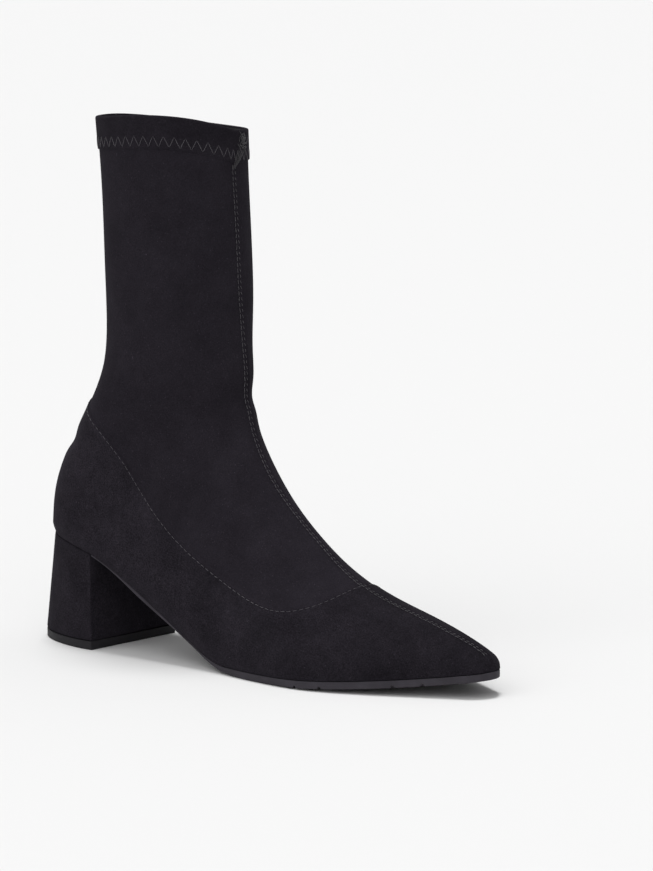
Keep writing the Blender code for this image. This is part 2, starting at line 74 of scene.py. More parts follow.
# Sole
SOLE_THICKNESS = 0.0036
WAIST_THICKNESS = 0.0026
SOLE_MARGIN = 0.0008  # how far its edge stands out past the last
EDGE_BEVEL = 0.0005
TREAD_BACK = 0.132  # the sole lies flat from here
TREAD_FRONT = 0.148  # to here
GROOVE_WIDTH = 0.0014
GROOVE_DEPTH = 0.0012
INSOLE_THICKNESS = 0.0025

# Heel
BREAST = 0.0426  # the heel's flat front face, from the back of the counter
HEEL_FOOT_WIDTH = 0.0587
HEEL_FOOT_BACK = -0.0086  # the heel's back at the floor
HEEL_BEVEL = 0.0007
TAP_THICKNESS = 0.0042

# Sole outline: place as a share of LENGTH, halves as shares of BALL_WIDTH
OutlineRow = namedtuple("OutlineRow", "x outer inner")
OUTLINE = [OutlineRow(*row) for row in (
    (0.000, 0.352, 0.352), (0.100, 0.362, 0.360), (0.165, 0.366, 0.352), (0.280, 0.340, 0.285),
    (0.400, 0.335, 0.215), (0.520, 0.425, 0.290), (0.630, 0.480, 0.425), (0.700, 0.490, 0.495),
    (0.780, 0.415, 0.455), (0.860, 0.300, 0.360), (0.930, 0.190, 0.232), (1.000, 0.090, 0.105),
)]

# Sections of the foot, toe to heel. Front and rise place the edge on the ridge, as shares
# of LENGTH and of the instep's rise, and back the edge on the sole. Outer and inner are the
# half widths, as shares of BALL_WIDTH, widest the share of the section where they are, and
# pinch how much narrower than an ellipse the ridge is.
FootRow = namedtuple("FootRow", "front rise back outer inner widest pinch")
FOOT = [FootRow(*row) for row in (
    (0.997, 0.046, 1.0000, 0.0920, 0.1070, 0.20, 0.05),
    (0.979, 0.082, 0.9735, 0.1278, 0.1542, 0.25, 0.08),
    (0.936, 0.134, 0.9340, 0.1883, 0.2323, 0.25, 0.13),
    (0.850, 0.218, 0.8480, 0.3241, 0.3873, 0.25, 0.21),
    (0.758, 0.298, 0.7560, 0.4515, 0.4864, 0.25, 0.28),
    (0.686, 0.388, 0.6700, 0.5002, 0.4864, 0.27, 0.38),
    (0.623, 0.501, 0.5600, 0.4635, 0.3877, 0.30, 0.36),
    (0.552, 0.642, 0.4400, 0.4065, 0.3745, 0.32, 0.26),
    (0.500, 0.783, 0.3100, 0.3910, 0.3930, 0.32, 0.19),
    (0.469, 0.913, 0.1515, 0.3880, 0.3880, 0.30, 0.16),
    (0.458, 0.995, 0.0444, 0.3790, 0.3790, 0.29, 0.12),
    (0.450, 1.049, 0.0000, 0.3745, 0.3745, 0.29, 0.12),
)]
BEND = 0.450  # place of the bend in front of the ankle, as a share of LENGTH

# Sections of the ankle and shaft, bottom to top. The first two are heights, as shares of
# the way from the heel seat to the collar. Front and back are how far the two edges stand
# out from the shaft's own lines, as shares of SHAFT_LENGTH and SHAFT_BACK.
ShaftRow = namedtuple("ShaftRow", "front_up back_up front back width widest pinch")
SHAFT = [ShaftRow(*row) for row in (
    (0.425, 0.095, 0.072, 0.935, 1.020, 0.31, 0.09),
    (0.495, 0.200, 0.055, 0.660, 1.004, 0.35, 0.06),
    (0.570, 0.330, 0.037, 0.222, 0.993, 0.43, 0.03),
    (0.650, 0.455, 0.021, 0.005, 0.987, 0.49, 0.01),
    (0.760, 0.630, 0.005, 0.020, 0.985, 0.50, 0.00),
    (0.880, 0.825, -0.016, 0.062, 0.995, 0.50, 0.00),
    (1.000, 1.000, -0.031, 0.150, 1.010, 0.50, 0.00),
)]

# Upper edge of the foot's suede, from the side: shares of LENGTH and INSTEP_HEIGHT
PanelRow = namedtuple("PanelRow", "x height")
PANEL = [PanelRow(*row) for row in (
    (-0.060, 1.110), (0.070, 1.038), (0.160, 0.942), (0.223, 0.822), (0.285, 0.668),
    (0.368, 0.508), (0.475, 0.370), (0.540, 0.308), (0.616, 0.275), (0.677, 0.299),
    (0.705, 0.335), (0.735, 0.405), (0.775, 0.520),
)]

# Grooves across the tread: place of each as a share of LENGTH
GROOVES = (0.678, 0.727, 0.852, 0.901)

PANEL_SAMPLES = 241  # places read along a section to find that edge
HALVINGS = 30  # steps of the search for where it starts and ends
NORMAL_PROBE = 1e-4  # change of section or turn that a normal is read over
LENGTH_PROBE = 0.01  # and that a length is read over
GROOVE_TURN = 4  # degrees from square across
INSOLE_END = 0.950  # its front end, as a share of LENGTH
INSOLE_CLEARANCE = 0.0016  # from the lining
HEEL_MARGIN = 0.0005  # how far the heel's top stands out past the last


def unit(vectors):
    """The vectors at length 1."""
    return vectors / np.linalg.norm(vectors, axis=-1, keepdims=True)


def way_along(line):
    """Way from the first point of a line to each of its points."""
    steps = np.linalg.norm(np.diff(line, axis=0), axis=-1)
    return np.concatenate([[0], np.cumsum(steps)])


def spline(knots, table, at):
    """Natural cubic spline through the rows of a table, read at the places in at."""
    knots = np.asarray(knots, float)
    table = np.asarray(table, float)
    steps = np.diff(knots)
    slopes = np.diff(table, axis=0) / steps[:, None]
    count = len(knots)
    system = np.eye(count)
    right = np.zeros_like(table)
    for i in range(1, count - 1):
        system[i, i - 1 : i + 2] = steps[i - 1], 2 * (steps[i - 1] + steps[i]), steps[i]
        right[i] = 6 * (slopes[i] - slopes[i - 1])
    bend = np.linalg.solve(system, right)
    at = np.clip(np.asarray(at, float), knots[0], knots[-1])
    i = np.clip(np.searchsorted(knots, at, side="right") - 1, 0, count - 2)
    h = steps[i][..., None]
    a = ((knots[i + 1] - at) / steps[i])[..., None]
    b = 1 - a
    return (
        a * table[i]
        + b * table[i + 1]
        + ((a**3 - a) * bend[i] + (b**3 - b) * bend[i + 1]) * h**2 / 6
    )


def sole_top(x):
    """Height of the sole's upper face: heel seat, waist, flat tread and toe spring."""
    x = np.asarray(x, float)
    seat = HEEL_HEIGHT - SEAT_DROP * (x / BREAST) ** 2
    run = TREAD_BACK - BREAST
    t = np.clip((x - BREAST) / run, 0, 1)
    seat_end = HEEL_HEIGHT - SEAT_DROP
    waist = (
        seat_end * (1 - 3 * t**2 + 2 * t**3)
        + SOLE_THICKNESS * (3 * t**2 - 2 * t**3)
        + SEAT_SLOPE * run * (t - 2 * t**2 + t**3)
    )
    lift = np.clip((x - TREAD_FRONT) / (LENGTH - TREAD_FRONT), 0, None)
    return np.where(x < BREAST, seat, waist) + TOE_SPRING * lift**2


def sole_thickness(x):
    """Thin at the waist, full under the ball and toe."""
    t = np.clip((np.asarray(x, float) - BREAST) / (TREAD_BACK - BREAST), 0, 1)
    return WAIST_THICKNESS + (SOLE_THICKNESS - WAIST_THICKNESS) * t**2


def swing(x):
    """Sideways place of the centre line, which turns inwards towards the toe."""
    return TOE_SWING * np.clip((x - BREAST) / (LENGTH - BREAST), 0, None) ** 2


def half_width(x, outer):
    """Half of the last's outline at x, on the outer or the inner side."""
    x = np.asarray(x, float)
    rows = [[row.outer, row.inner] for row in OUTLINE]
    halves = BALL_WIDTH * spline([row.x for row in OUTLINE], rows, x / LENGTH)
    half = np.where(outer, halves[..., 0], halves[..., 1])
    heel = np.clip(x / HEEL_CURVE, 0, 1)
    return half * np.sqrt(1 - (1 - heel) ** 2) * toe_round(x)


def toe_round(x):
    """Share of the width that is left at x by the round of the toe."""
    toe = np.clip((LENGTH - x) / TOE_CURVE, 0, 1)
    return np.sqrt(1 - (1 - toe) ** 2)


def walk(x):
    """Way along the outline from the heel's back to x, slow round both ends."""
    end = LENGTH - TOE_CURVE
    heel = np.arccos(1 - np.clip(x / HEEL_CURVE, 0, 1))
    toe = np.arcsin(np.clip((x - end) / TOE_CURVE, 0, 1))
    return HEEL_CURVE * heel + np.clip(x, HEEL_CURVE, end) - HEEL_CURVE + TOE_CURVE * toe


def place(way):
    """The x that a way along the outline leads to."""
    end = LENGTH - TOE_CURVE
    straight = way - HEEL_CURVE * np.pi / 2
    heel = np.clip(way / HEEL_CURVE, 0, np.pi / 2)
    toe = np.clip((straight - end + HEEL_CURVE) / TOE_CURVE, 0, np.pi / 2)
    middle = np.clip(straight, 0, end - HEEL_CURVE)
    return HEEL_CURVE * (1 - np.cos(heel)) + middle + TOE_CURVE * np.sin(toe)


def sections():
    """Every section as a row: front x, z; back x, z; way; sides; widest; pinch."""
    rise = INSTEP_HEIGHT - float(sole_top(BEND * LENGTH))
    rows = []
    for row in FOOT:
        front = row.front * LENGTH
        back = row.back * LENGTH
        top = float(sole_top(front)) + row.rise * rise
        way = float(walk(back))
        sides = [row.outer * BALL_WIDTH, row.inner * BALL_WIDTH]
        rows.append([front, top, back, float(sole_top(back)), way, *sides, row.widest, row.pinch])
    fall = COLLAR_HEIGHT - HEEL_HEIGHT
    for row in SHAFT:
        front = SHAFT_BACK + SHAFT_LENGTH * (1 + row.front)
        back = SHAFT_BACK * (1 - row.back)
        top = HEEL_HEIGHT + row.front_up * (fall - COLLAR_DIP)
        low = HEEL_HEIGHT + row.back_up * fall
        side = row.width * SHAFT_WIDTH / 2
        rows.append([front, top, back, low, 0.0, side, side, row.widest, row.pinch])
    return np.array(rows)


HEEL_ROW = len(FOOT) - 1  # the section that starts at the heel's back
TOP_ROW = HEEL_ROW + len(SHAFT)


def last_point(section, turn):
    """Point of the outside of the lining: section from the toe, turn -1 outer to 1 inner."""
    rows = sections()
    section = np.asarray(section, float)
    outer = turn < 0
    knots = np.arange(len(rows))
    read = spline(knots, rows, section)
    foot = spline(knots[: HEEL_ROW + 1], rows[: HEEL_ROW + 1, 4:5], np.minimum(section, HEEL_ROW))
    back = spline(knots[HEEL_ROW:], rows[HEEL_ROW:, 2:4], np.maximum(section, HEEL_ROW))
    sole_x = place(foot[..., 0])
    on_sole = section <= HEEL_ROW
    back_x = np.where(on_sole, sole_x, back[..., 0])
    back_z = np.where(on_sole, sole_top(sole_x), back[..., 1])
    base = np.where(on_sole, half_width(sole_x, outer), 0)
    full = np.maximum(np.where(outer, read[..., 5], read[..., 6]) * toe_round(sole_x), base)
    start = -np.arctan2(np.sqrt(full**2 - base**2), base)
    angle = start + (np.pi / 2 - start) * (1 - np.abs(turn))
    widest = read[..., 7]
    low = widest * (np.sin(angle) - np.sin(start))
    level = -widest * np.sin(start)
    share = np.where(angle < 0, low, level + (1 - level) * np.sin(angle))
    pinch = np.where(angle > 0, read[..., 8] * np.sin(angle) ** 2, 0)
    half = full * np.cos(angle) * (1 - pinch)
    x = back_x + (read[..., 0] - back_x) * share
    z = back_z + (read[..., 1] - back_z) * share
    rise = COLLAR_RISE * np.cos(angle) * (1 + np.sin(angle))
    tilt = np.where(outer, rise, -COLLAR_DROP * np.cos(angle) ** 2)
    z = z + tilt * np.clip((section - TOP_ROW) / TILT_ROWS + 1, 0, 1) ** 2
    return np.stack([x, np.sign(turn) * half + swing(x), z], axis=-1)


def last_normal(section, turn):
    """Outward normal of the last's surface."""
    low = np.clip(section - NORMAL_PROBE, 0, TOP_ROW)
    high = np.clip(section + NORMAL_PROBE, 0, TOP_ROW)
    left = np.clip(turn - NORMAL_PROBE, -1, 1)
    right = np.clip(turn + NORMAL_PROBE, -1, 1)
    side = np.where(turn == 0, 1.0, np.sign(turn))
    left = np.where(np.sign(left) == -side, 0, left)
    right = np.where(np.sign(right) == -side, 0, right)
    along = last_point(high, turn) - last_point(low, turn)
    across = last_point(section, right) - last_point(section, left)
    normal = np.cross(across, along)
    normal[turn == 0, 1] = 0
    return normal / np.maximum(np.linalg.norm(normal, axis=-1, keepdims=True), 1e-12)


def panel_round(section):
    """How far round a section the suede's upper edge runs: 0 at the ridge, 1 behind."""
    edge = [[row.height * INSTEP_HEIGHT] for row in PANEL]
    places = [row.x * LENGTH for row in PANEL]
    around = np.linspace(0, 1, PANEL_SAMPLES)
    result = []
    for level in np.atleast_1d(section):
        points = last_point(np.full_like(around, level), -around)
        over = points[:, 2] - spline(places, edge, points[:, 0])[:, 0]
        below = np.flatnonzero(over < 0)
        if len(below) == 0:
            result.append(1.0)
        elif below[0] == 0:
            result.append(0.0)
        else:
            i = below[0]
            share = over[i - 1] / (over[i - 1] - over[i])
            result.append(around[i - 1] + share * (around[i] - around[i - 1]))
    return np.array(result)


def crossing(passed, low, high):
    """Section between low and high from which passed holds, by halving."""
    for _ in range(HALVINGS):
        middle = (low + high) / 2
        if passed(panel_round(middle)[0]):
            high = middle
        else:
            low = middle
    return low, high


def panel_ends():
    """Sections at which the suede's edge leaves the ridge and reaches the back seam."""
    front = crossing(lambda around: around > 0, 1.0, HEEL_ROW / 2)[0]
    back = crossing(lambda around: around >= 1, float(HEEL_ROW), TOP_ROW - 1.0)[1]
    return front, back


def section_step(section, turn, length):
    """Change of section that moves a point that far up its column."""
    here = last_point(section, turn)
    below = last_point(section - LENGTH_PROBE, turn)
    return length * LENGTH_PROBE / np.linalg.norm(here - below, axis=-1)


def turn_step(section, turn, length):
    """Change of turn that moves a point that far towards the ridge."""
    turn = min(turn, -2 * LENGTH_PROBE)
    here = last_point(np.array(section), np.array(turn))
    nearer = last_point(np.array(section), np.array(turn + LENGTH_PROBE))
    return length * LENGTH_PROBE / float(np.linalg.norm(nearer - here))


def even_levels(low, high, count):
    """Sections between two, evenly spaced along the base and the ridge together."""
    fine = np.linspace(low, high, PANEL_SAMPLES)
    base = last_point(fine, -np.ones_like(fine))
    ridge = last_point(fine, np.zeros_like(fine))
    way = way_along(base) + way_along(ridge)
    return np.interp(np.linspace(0, way[-1], count + 1), way, fine)


def rails(ways, offset):
    """Outer and inner edge of the last's outline, set out by offset, in plan."""
    x = place(ways)
    edges = []
    for outer in (True, False):
        sign = -1 if outer else 1
        y = sign * half_width(x, outer) + swing(x)
        along = unit(np.stack([np.gradient(x), np.gradient(y)], axis=-1))
        normal = np.stack([-along[:, 1], along[:, 0]], axis=-1) * sign
        if ways[0] == 0:
            normal[0] = (-1, 0)
        if x[-1] > LENGTH - GAP:
            normal[-1] = (1, 0)
        edges.append(np.stack([x, y], axis=-1) + offset * normal)
    return edges


def cut_end(edges, index, x, offset):
    """Puts one station of both edges squarely across the sole at x."""
    for edge, outer in zip(edges, (True, False)):
        half = float(half_width(x, outer)) + offset
        edge[index] = (x, float(swing(x)) + (-half if outer else half))
    return edges


def sole_bottom(x):
    """Height of the sole's lower face."""
    return sole_top(x) - sole_thickness(x)


# Looks: sizes of what only shows in the picture
ORIGIN_X = (HEEL_FOOT_BACK + BREAST) / 2  # the frame's origin, from the counter's back
SEAM_GROOVE = 0.00035  # depth of the closed seam down the front
SEAM_HALF = 0.000448  # half of its width
SEAM_RIDGE = 0.00030  # swell of the cloth each side of it
SWELL_AWAY = 0.0008  # from the seam to the top of that swell
SWELL_HALF = 0.00088
CREASE_STEPS = 25  # places read along a crease
CREASE_FADE = 0.7  # how a crease fades towards its ends
CREASE_FALL = 2.2  # and away from its line
STITCH_RADIUS = 0.00016
FINE_RADIUS = 0.00013
STITCH_RINGS = 7
STITCH_SIDES = 6
STITCH_END = 0.02  # least thickness at its ends, squared
STITCH_FLAT = 0.8  # height as a share of width
STITCH_SINK = 0.35  # how far its ends sink, in radii
LENGTH_JITTER = 0.05  # how unequal stitches are
LINE_STEPS = 700  # places read along a row of stitches

# The two rows down the front seam
STITCH_PITCH = 0.0027
STITCH_LENGTH = 0.0016
OUTER_LENGTH = 0.0023  # the outer row has longer stitches
STITCH_SLANT = 0.32  # sideways lean of the inner row's
FRONT_JITTER = 0.12  # how unevenly they lean
FRONT_ROW_OFFSET = 0.00085  # each row from the middle of the pair
FRONT_ROW_SHIFT = -0.0018  # the pair towards the outer side
FRONT_LIFT = 0.4  # stitch over the cloth, in radii
FRONT_END = 0.04  # section at the toe where the rows end
FRONT_SEED = 11

# The row along the suede's edge
PANEL_ROW_OFFSET = 0.0007  # from that edge
PANEL_PITCH = 0.0031
PANEL_STITCH = 0.0023
PANEL_LIFT = 0.35
PANEL_TRIM = (0.04, 0.03)  # angles left free at its ends
PANEL_SEED = 21

# The zigzag round the hem
ZIGZAG_PITCH = 0.0053
ZIGZAG_TOP = 0.0086  # from the collar down to its upper points
ZIGZAG_BOTTOM = 0.0138
ZIGZAG_LIFT = 0.5
ZIGZAG_SHARE = 0.97  # of the way between two points that a stitch covers
ZIGZAG_STEPS = 721
CROWD_REACH = 0.012  # it is crowded this near to the front seam
CROWDING = 0.45

# The lump of short threads at the collar's front
TACK_STITCHES = 40
TACK_DEPTH = 0.0080
TACK_TURN = 0.055  # how far round from the ridge it sits
TACK_SPREAD = 0.015
TACK_LIFT = 0.0007
TACK_LEAN = (0.3, 1.0, 1.3)  # how far its threads lean along each axis
TACK_LENGTHS = (0.0020, 0.0036)
TACK_SEED = 31

# Ends of the long slanted threads under that lump. Rise and fan are how much the depth
# from the collar and the turn change from the first thread to the last.
CrossEnd = namedtuple("CrossEnd", "depth rise turn fan lift")
CROSS_ENDS = [CrossEnd(*row) for row in (
    (0.0180, 0.0045, -0.021, 0.039, 0.0003), (0.0070, 0.0000, 0.055, 0.072, 0.0006),
)]
CROSS_STITCHES = 6

# Colours, dark and light
SUEDE = (0.0128, 0.0112, 0.0145), (0.0188, 0.0163, 0.0210)
STRETCH_SUEDE = (0.0148, 0.0128, 0.0167), (0.0190, 0.0165, 0.0214)
HEM_SUEDE = (0.0122, 0.0106, 0.0138), (0.0172, 0.0149, 0.0192)
HEEL_SUEDE = (0.0128, 0.0112, 0.0145), (0.0190, 0.0165, 0.0212)
LINING_CLOTH = (0.006, 0.0055, 0.006), (0.010, 0.009, 0.010)
SOCK_CLOTH = (0.006, 0.0055, 0.006), (0.011, 0.010, 0.011)
SOLE_RUBBER = (0.040, 0.036, 0.044)
TAP_RUBBER = (0.018, 0.017, 0.0195)
THREAD = (0.043, 0.038, 0.047)
DARK_THREAD = (0.029, 0.026, 0.032)
TACK_THREAD = (0.0205, 0.0180, 0.0225)
SUEDE_SHEEN = 0.02
# Painted light and shade: the suede is painted lighter at the heel (painted highlight) and darker
# at the toe (painted shade): place along the foot, gain
SUEDE_PAINTED_LIGHT = ((0.10, 1.18), (0.42, 1.08), (0.60, 0.92), (0.80, 0.82))
LINT_GAIN = 2.2  # how much lighter the stray fibres are

# Density of the meshes
SUEDE_COLUMNS = 46
STRETCH_COLUMNS = 46
TIP_ROWS = 60  # in front of the suede's edge at the ridge
VAMP_ROWS = 130  # behind it
START_SHARES = (0.1, 0.9, 6)  # first, last and count of the rows just behind it
HEEL_ROWS = 44
LEG_ROWS = 96
HEM_ROWS = 26
LINING_SKIP = 3
ROLL_STEPS = 6  # round the collar's edge
HEEL_SIDE_STATIONS = 150
SOLE_SIDE_STATIONS = 620
SOCK_STATIONS = 90
END_STATIONS = (0.0001, 0.0003, 0.0006, 0.001)  # further ones from a square end
LEVELS = {"heel": 40, "heel_tap": 6, "outsole": 8, "insole": 3}  # up each block's side
BLOCK_CAP = 8  # columns from a block's edge to its middle
BLOCK_ARC = 4  # round its edge
HARD_EDGE = 50  # degrees from which an edge stays crisp
CLOSE = 1e-6  # corners nearer than this are one
NO_AREA = 1e-14  # and a face smaller than this is left out

GROOVE_RAMP = 0.5  # share of a groove's width that its sloping sides take
# Height of the sole's edge that shows, by place along the foot
SoleEdge = namedtuple("SoleEdge", "x height")
SOLE_EDGE = [SoleEdge(*row) for row in (
    (0.16, 0.0006), (0.22, 0.0010), (0.27, 0.0020), (0.33, 0.0016), (0.38, 0.0009),
    (0.44, 0.0013), (0.50, 0.0027), (0.56, 0.0036), (1.00, 0.0036),
)]

# Camera: turned from the side view towards the toe, a little above
CAMERA_TURN = 40.67  # degrees
CAMERA_PITCH = 7.98
CAMERA_AWAY = 1.885
CAMERA_LENS = 167.6
CAMERA_SENSOR = 36.0  # on the picture's long side
CAMERA_AIM = (0.1667, 0.0, 0.1129)  # from the counter's back

WALL_GREY = 0.34
FLOOR_GREY = 0.80
FLOOR_SIZE = 80.0  # wide enough to reach past the picture's top edge
# Suns: name, strength, where it shines from and its width in degrees
LIGHTS = (
    ("top_light", 1.8, (-0.08, 0.10, 2.4), 16),
    ("front_light", 1.3, (0.30, -1.2, 1.15), 80),
)


def smooth(x):
    """Soft step from 0 to 1."""
    x = np.clip(x, 0, 1)
    return x * x * (3 - 2 * x)


def bell(x):
    """Round bump of height 1 that ends softly at 1 each side."""
    return smooth(1 - np.abs(x))


# Soft creases: shallow troughs from one place to another, in section and turn
Crease = namedtuple("Crease", "section_a turn_a section_b turn_b depth half")
CREASES = [Crease(*row) for row in (
    (12.9, -0.42, 12.1, -0.14, 0.0010, 0.0075), (13.3, -0.95, 12.8, -0.55, 0.0012, 0.0070),
    (13.5, 0.95, 12.9, 0.50, 0.0012, 0.0070), (12.6, 0.45, 12.0, 0.12, 0.0010, 0.0075),
    (14.4, -0.75, 14.1, -0.30, 0.0006, 0.0100), (14.8, 0.75, 14.4, 0.28, 0.0006, 0.0100),
    (16.2, -0.60, 15.7, -0.10, 0.0005, 0.0120), (10.7, -0.22, 11.6, -0.06, 0.0006, 0.0065),
    (10.7, 0.22, 11.6, 0.06, 0.0006, 0.0065),
)]


def crease_depth(points):
    """Depth of the creases at these points, by the way from each one's line."""
    depth = np.zeros(points.shape[:-1])
    for crease in CREASES:
        share = np.linspace(0, 1, CREASE_STEPS)
        level = crease.section_a + (crease.section_b - crease.section_a) * share
        turn = crease.turn_a + (crease.turn_b - crease.turn_a) * share
        line = last_point(level, turn)
        fade = np.sin(np.pi * share) ** CREASE_FADE
        best = np.zeros_like(depth)
        for spot, strength in zip(line, fade):
            away = np.linalg.norm(points - spot, axis=-1) / crease.half
            trough = np.exp(-CREASE_FALL * away**2)
            best = np.maximum(best, strength * trough)
        depth += crease.depth * best
    return depth


def front_seam_relief(points, ridge):
    """Low swell on each side of the front seam, and the closed groove between."""
    away = np.linalg.norm(points - ridge, axis=-1)
    swell = SEAM_RIDGE * np.exp(-(((away - SWELL_AWAY) / SWELL_HALF) ** 2))
    groove = SEAM_GROOVE * np.exp(-((away / SEAM_HALF) ** 2))
    return swell - groove


def surface(section, turn, out, relief=True):
    """Points of the upper's face, set out from the last, and the normals there."""
    section = np.asarray(section, float)
    turn = np.asarray(turn, float)
    base = last_point(section, turn)
    normal = last_normal(section, turn)
    lift = np.asarray(out, float)
    if relief:
        ridge = last_point(section, np.zeros_like(turn))
        lift = lift + front_seam_relief(base, ridge) - crease_depth(base)
    return base + normal * lift[..., None], normal


def hem_levels(half):
    """For each column, the section at the hem's lower edge and its growth a metre up."""
    top = np.full(len(half), float(TOP_ROW))
    edge = TOP_ROW - section_step(top, -half, HEM_DEPTH)
    return edge, (TOP_ROW - edge) / HEM_DEPTH


def column_sets(levels, front, back):
    """Turns and steps for each row: the suede's columns, then the stretch cloth's."""
    halves, steps = [], []
    for level, edge in zip(levels, panel_round(levels)):
        edge = 0.0 if level <= front else edge
        edge = 1.0 if level >= back else edge
        inside = max(edge - turn_step(level, -edge, STEP_RUN), 0.0) if edge < 1 else 1.0
        suede = np.linspace(1, edge, SUEDE_COLUMNS + 1)
        cloth = np.linspace(inside, 0, STRETCH_COLUMNS + 1)
        halves.append(np.concatenate([suede, cloth]))
        steps.append(np.concatenate([
            np.full(SUEDE_COLUMNS + 1, PANEL_STEP if level < back else 0.0),
            np.full(STRETCH_COLUMNS + 1, PANEL_STEP if level <= front else 0.0),
        ]))
    return np.array(halves), np.array(steps)


def upper_rows():
    """Levels, turns and steps out of all the rows of the upper's outside, tip to collar."""
    front, back = panel_ends()
    tiny = float(section_step(np.array(front), np.array(0.0), STEP_RUN))
    foot = even_levels(front, HEEL_ROW, VAMP_ROWS)
    start = front + (foot[1] - front) * np.linspace(*START_SHARES)
    foot = np.concatenate([[front, front + tiny], start[start > front + tiny], foot[1:]])
    counter = even_levels(HEEL_ROW, back, HEEL_ROWS)
    levels = np.concatenate([even_levels(0, front, TIP_ROWS)[:-1], foot, counter[1:]])
    halves, steps = column_sets(levels, front, back)
    levels = np.repeat(levels[:, None], halves.shape[1], axis=1)
    half = halves[-1]
    hem, grow = hem_levels(half)
    leg = np.linspace(0, 1, LEG_ROWS + 1)[1:, None]
    leg_levels = back + (hem - back) * leg
    height = np.linspace(0, 1, HEM_ROWS + 1)[:, None]
    hem_rows = hem + (TOP_ROW - hem) * height
    hem_rows[0] = hem + grow * STEP_RUN
    hem_steps = np.repeat(HEM_STEP * np.ones_like(height), len(half), axis=1)
    levels = np.concatenate([levels, leg_levels, hem_rows])
    turns = np.concatenate([halves, np.repeat(half[None], len(leg_levels) + len(hem_rows), axis=0)])
    steps = np.concatenate([steps, np.zeros_like(leg_levels), hem_steps])
    return levels, turns, steps


def mirrored(values, sign=1):
    """A half row over the ridge and down the other side."""
    return np.concatenate([values, sign * values[:, -2::-1]], axis=1)


def close_rows(points, levels):
    """Brings the two sides together at the tip and up the back seam."""
    middle = (points + points[:, ::-1]) / 2
    tip = levels[:, 0] == 0
    points[tip] = middle[tip]
    seam = levels[:, 0] >= HEEL_ROW
    for end in (0, -1):
        points[seam, end] = middle[seam, end]
    seat = sole_top(points[..., 0]) + GAP
    points[..., 2] = np.maximum(points[..., 2], seat)
    for end in (0, -1):
        points[~seam, end, 2] = seat[~seam, end]
    return points


def to_frame(points):
    """From the counter's back to the frame's own origin."""
    return points - np.array([ORIGIN_X, 0, 0])


def block(name, material, top, foot, heights, radius, levels, end, lift=None):
    """Dense piece between two outlines, with round edges and a flat end at x = end."""
    cap = np.linspace(1, 0, BLOCK_CAP + 1)[:-1]
    arc = np.linspace(0, np.pi / 2, BLOCK_ARC + 1)
    side = np.linspace(0, 1, levels + 1)[1:-1]
    pull = np.concatenate([cap, 0 * arc, 0 * side, 0 * arc, cap[::-1]])
    one, into, out = 1 + 0 * cap, 1 - np.sin(arc), 1 - np.cos(arc)
    inset = radius * np.concatenate([one, into, 0 * side, out, one])
    down = np.concatenate([0 * cap, 0 * arc, side, 1 + 0 * arc, one])
    drop = radius * np.concatenate([0 * cap, out, 1 - 2 * side, -into, 0 * cap])
    halves = []
    for sign, high, low in zip((-1, 1), top, foot):
        edge = high[:, None] + (low - high)[:, None] * down[:, None]
        run = unit(np.gradient(high, axis=0))
        inward = np.stack([run[:, 1], -run[:, 0]], axis=-1) * sign
        closed = np.linalg.norm(top[0] - top[1], axis=-1) < CLOSE
        middle = (top[0][:, 0].min() + top[0][:, 0].max()) / 2
        inward[closed, 0] = np.sign(middle - high[closed, 0])
        inward[closed, 1] = 0
        away = np.abs(high[:, 0] - end)
        corner = radius - np.sqrt(radius**2 - np.clip(radius - away, 0, radius) ** 2)
        halves.append(edge + inward[:, None] * (inset + corner[:, None])[..., None])
    centre = (halves[0] + halves[1]) / 2
    ring = []
    for half in halves:
        plan = half + (centre - half) * pull[:, None]
        high, low = heights[0](plan[..., 0]), heights[1](plan[..., 0])
        z = high + (low - high) * down - drop
        if lift:
            z = z + lift(plan, z, low)
        ring.append(np.concatenate([plan, z[..., None]], axis=-1))
    loop = np.concatenate([ring[0], ring[1][:, ::-1], ring[0][:, :1]], axis=1)
    sheet = Sheet()
    sheet.grid(loop, 0)
    around = loop.shape[1] - 1
    for x, row in ((top[0][0, 0], 0), (top[0][-1, 0], len(loop) - 1)):
        if abs(x - end) < CLOSE:
            sheet.caps.append([row * (around + 1) + k for k in range(around)])
    return sheet.finish(name, [material])


def outline_rails(low, high, count, offset, cut):
    """Dense outer and inner edge between two places, with one square end."""
    ways = np.linspace(walk(low), walk(high), count + 1)
    near = walk(cut) + np.array(END_STATIONS) * (1 if cut == low else -1)
    ways = np.unique(np.concatenate([ways, near]))
    return cut_end(rails(ways, offset), 0 if cut == low else -1, cut, offset)


def tread_lift(plan, z, low):
    """Thins the sole under the waist and raises its lower face along the grooves."""
    x = plan[..., 0]
    rows = [[row.height] for row in SOLE_EDGE]
    edge = spline([row.x * LENGTH for row in SOLE_EDGE], rows, x)[..., 0]
    thin = np.clip(sole_thickness(x) - edge, 0, None)
    lift = thin * (sole_top(x) - z) / (sole_top(x) - low)
    for share in GROOVES:
        x = share * LENGTH
        aside = plan[..., 1] - float(swing(x))
        away = np.abs(plan[..., 0] - x + aside * math.tan(math.radians(GROOVE_TURN)))
        slope = GROOVE_WIDTH * GROOVE_RAMP
        cut = smooth(((GROOVE_WIDTH + slope) / 2 - away) / slope)
        lift = np.maximum(lift, cut * np.clip(low + GROOVE_DEPTH - z, 0, None))
    return lift


def level_face(height):
    """Face at one height, for a block."""
    return lambda x: np.full_like(x, height)


def sole_face(height):
    """Face at a height over the sole's upper face."""
    return lambda x: sole_top(x) + height


